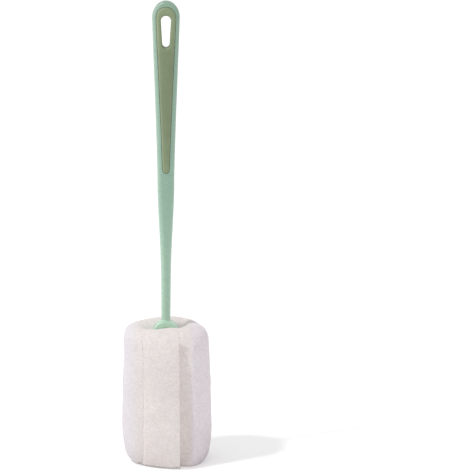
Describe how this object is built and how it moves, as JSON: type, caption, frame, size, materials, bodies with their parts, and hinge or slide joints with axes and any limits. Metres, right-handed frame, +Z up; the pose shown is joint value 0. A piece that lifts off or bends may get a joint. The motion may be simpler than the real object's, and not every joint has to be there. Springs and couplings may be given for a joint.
{
  "type": "bottle brush",
  "caption": "Sponge bottle brush: a slim tapering handle with a soft grip inlay and a hanging slot, ending in a loop that holds a folded, slit foam head",
  "frame": {"origin": "on the floor, under the middle of the foam head", "axes": "+Z up along the handle, +X to the right and -Y towards the viewer of the front"},
  "size_m": [0.0624, 0.061, 0.32],
  "materials": {
    "mint_plastic": "satin",
    "olive_rubber": "matte",
    "white_foam": "matte"
  },
  "bodies": {
    "root": {"handle_body": "mint_plastic", "soft_grip": "olive_rubber", "sponge_strip": "white_foam"}
  },
  "joints": []
}
